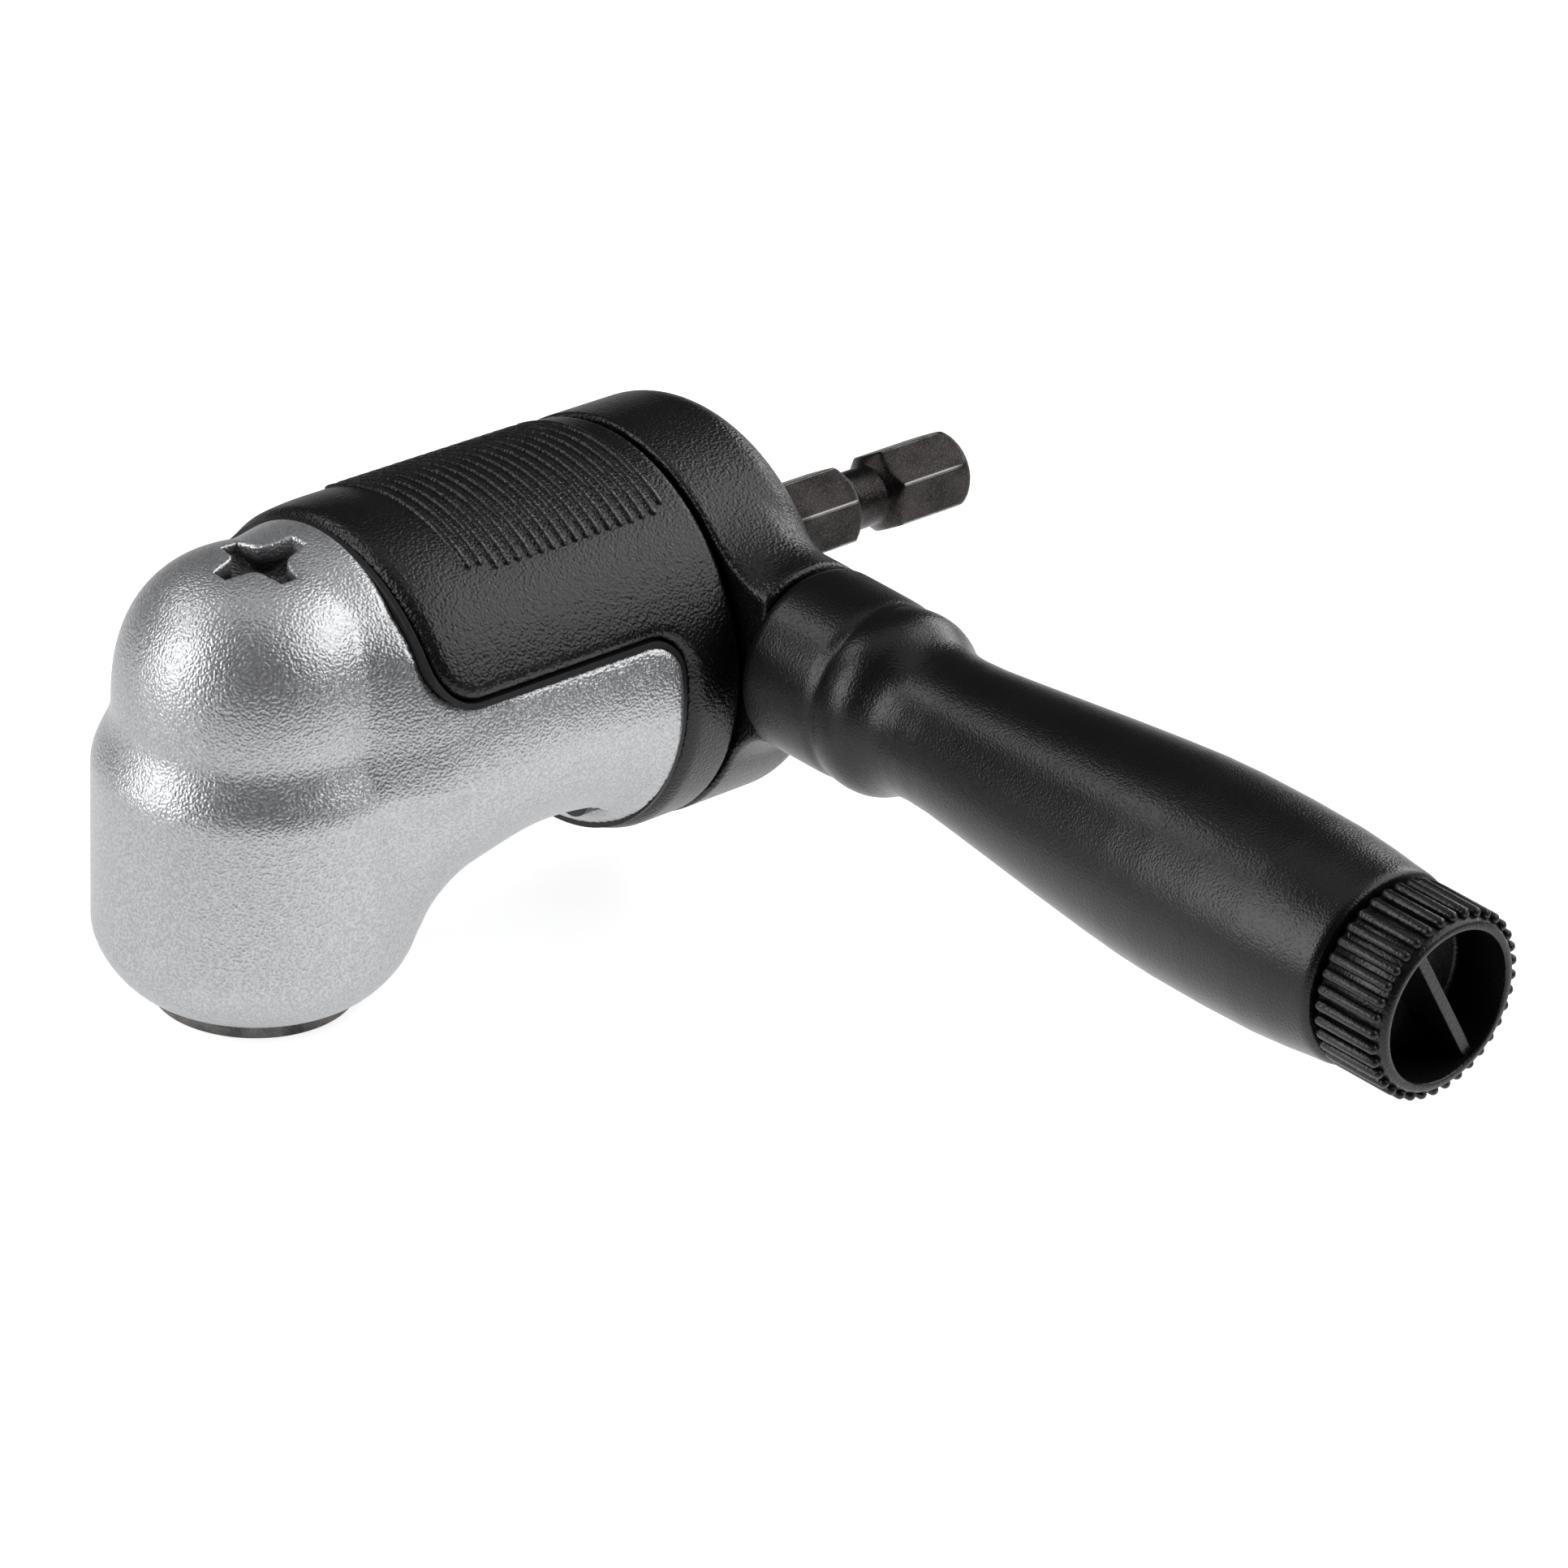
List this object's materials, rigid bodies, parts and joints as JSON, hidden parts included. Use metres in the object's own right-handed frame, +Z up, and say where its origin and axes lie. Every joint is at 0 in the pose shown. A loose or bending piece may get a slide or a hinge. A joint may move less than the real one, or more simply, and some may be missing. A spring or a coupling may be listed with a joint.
{
  "type": "right angle drill attachment",
  "caption": "Right angle drive head with a hex shank, a mitre gear pair, a hex bit socket at the spindle nose and a clamped side handle.",
  "frame": {"origin": "centre of the spindle nose, at the mouth of the bit socket", "axes": "+Z up the spindle into the head, +X along the input shaft to the tip of its hex shank, side handle towards -Y"},
  "size_m": [0.0848, 0.104, 0.0386],
  "materials": {
    "cast_body": "fine satin casting, light silver",
    "sleeve_nylon": "moulded black nylon",
    "grip_rubber": "soft matt black rubber with fine ribs",
    "collar_black": "satin black glass filled nylon",
    "black_steel": "black oxide steel",
    "shank_steel": "dark tempered steel",
    "gear_steel": "hardened machined steel",
    "bearing_steel": "ground bright steel",
    "bronze": "oiled sintered bronze",
    "seal_rubber": "black sealing rubber",
    "spindle_steel": "turned steel, slightly dark",
    "magnet_nickel": "nickel plated magnet",
    "handle_plastic": "satin black nylon",
    "insert_brass": "machined brass",
    "knob_plastic": "satin black nylon, fine ribs"
  },
  "bodies": {
    "body": {"gear_head": "cast_body", "inner_sleeve": "sleeve_nylon", "grip_sleeve": "grip_rubber", "rear_collar": "collar_black", "collar_screws": "black_steel", "shaft_bearing_outer": "bearing_steel", "shaft_bearing_balls": "bearing_steel", "bearing_clip": "black_steel", "rear_bush": "bronze", "shaft_seal": "seal_rubber", "upper_bearing_outer": "bearing_steel", "upper_bearing_balls": "bearing_steel", "lower_bearing_outer": "bearing_steel", "lower_bearing_balls": "bearing_steel", "bearing_spacer": "bearing_steel", "pilot_bush": "bronze", "nose_ring": "spindle_steel", "handle_insert": "insert_brass"},
    "input": {"input_shaft": "shank_steel", "drive_pinion": "gear_steel", "shaft_bearing_inner": "bearing_steel", "shaft_clip": "black_steel"},
    "spindle": {"output_spindle": "spindle_steel", "spindle_gear": "gear_steel", "gear_washer": "bronze", "gear_clip": "black_steel", "upper_bearing_inner": "bearing_steel", "lower_bearing_inner": "bearing_steel", "bit_ring": "bearing_steel", "bit_magnet": "magnet_nickel"},
    "handle": {"handle_grip": "handle_plastic", "handle_tube": "gear_steel", "wave_washer": "bearing_steel"},
    "clamp": {"clamp_bolt": "gear_steel", "bolt_clip": "black_steel", "clamp_knob": "knob_plastic"}
  },
  "joints": [
    {"name": "input_spin", "type": "hinge", "parent": "body", "child": "input", "pos_m": [0, 0, 0.0247], "axis": [1, 0, 0], "continuous": true},
    {"name": "spindle_spin", "type": "hinge", "parent": "body", "child": "spindle", "pos_m": [0, 0, 0], "axis": [0, 0, 1], "continuous": true},
    {"name": "handle_slide", "type": "slide", "parent": "body", "child": "handle", "axis": [0, -1, 0], "range_m": [0, 0.008]},
    {"name": "knob_turn", "type": "hinge", "parent": "handle", "child": "clamp", "pos_m": [0.04, 0, 0.0247], "axis": [0, 1, 0], "range_deg": [0, 3600]}
  ],
  "couplings": [
    {"joint": "spindle_spin", "follows": "input_spin", "ratio": 1},
    {"joint": "knob_turn", "follows": "handle_slide", "rad_per_m": 7854}
  ]
}
